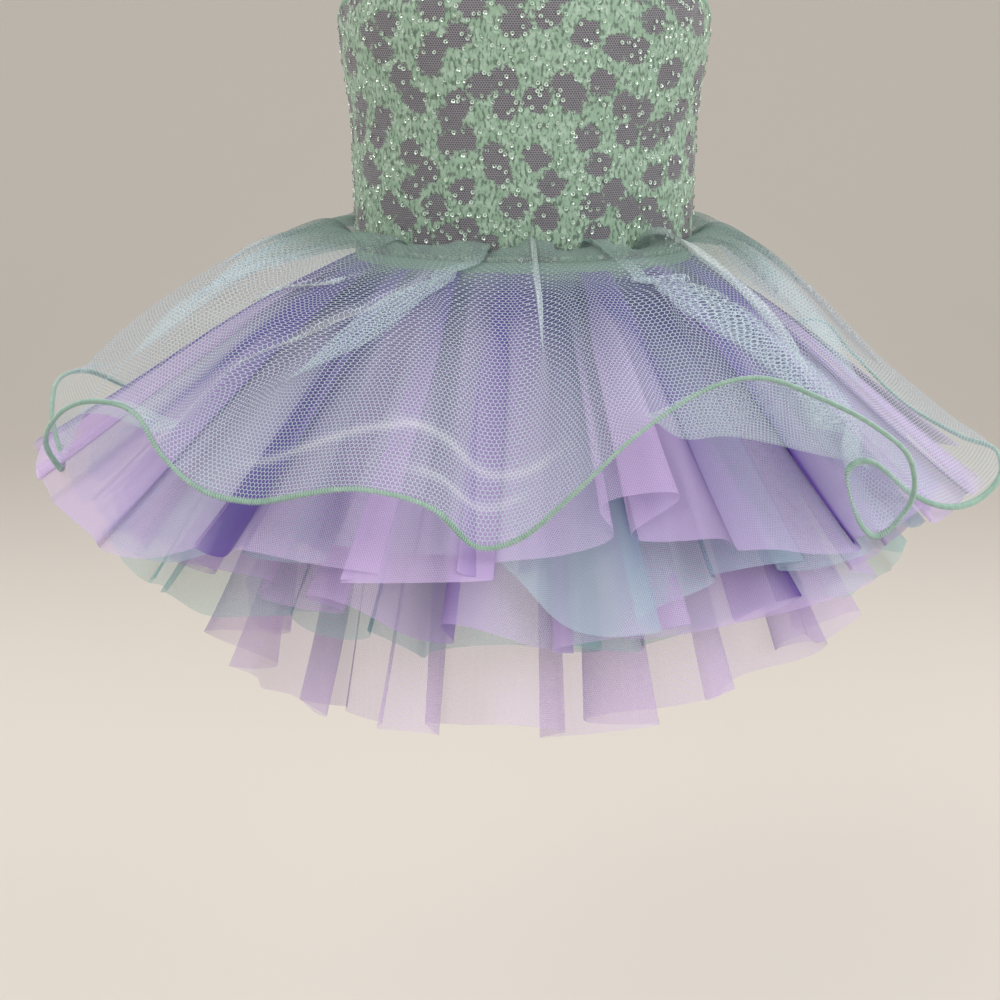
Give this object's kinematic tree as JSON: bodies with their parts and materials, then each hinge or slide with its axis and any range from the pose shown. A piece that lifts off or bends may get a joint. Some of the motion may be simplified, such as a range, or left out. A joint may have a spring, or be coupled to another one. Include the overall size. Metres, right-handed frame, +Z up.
{
  "type": "ballet costume",
  "caption": "Child's ballet costume: sleeveless sequinned lace bodice on straps, brief, and a full wavy net overskirt with a rolled edge over gathered tulle tiers.",
  "frame": {"origin": "centre of the waist seam, on the body's axis, where the wearer's waist holds the costume", "axes": "+Z up towards the neck, -Y towards the front of the costume, +X towards the wearer's left"},
  "size_m": [0.5779, 0.535, 0.4733],
  "materials": {
    "lace": "mint stretch lace over mauve-grey mesh, with cup sequins",
    "brief": "matt stretch knit",
    "net_mint": "stiff open hexagonal net, sheer",
    "satin_stitch": "close satin stitch, silky",
    "tulle_lilac": "fine soft tulle, sheer",
    "tulle_aqua": "fine soft tulle, sheer",
    "tulle_mint": "fine soft tulle, sheer"
  },
  "bodies": {
    "root": {"bodice_front": "lace", "bodice_back": "lace", "strap_left": "lace", "strap_right": "lace", "brief_front": "brief", "brief_back": "brief", "overskirt_net_front": "net_mint", "overskirt_net_back": "net_mint", "rolled_edge_front": "satin_stitch", "rolled_edge_back": "satin_stitch", "tier_1_lilac_front": "tulle_lilac", "tier_1_lilac_back": "tulle_lilac", "tier_2_aqua_front": "tulle_aqua", "tier_2_aqua_back": "tulle_aqua", "tier_3_lilac_front": "tulle_lilac", "tier_3_lilac_back": "tulle_lilac", "tier_4_mint_front": "tulle_mint", "tier_4_mint_back": "tulle_mint", "tier_5_lilac_front": "tulle_lilac", "tier_5_lilac_back": "tulle_lilac"}
  },
  "joints": []
}
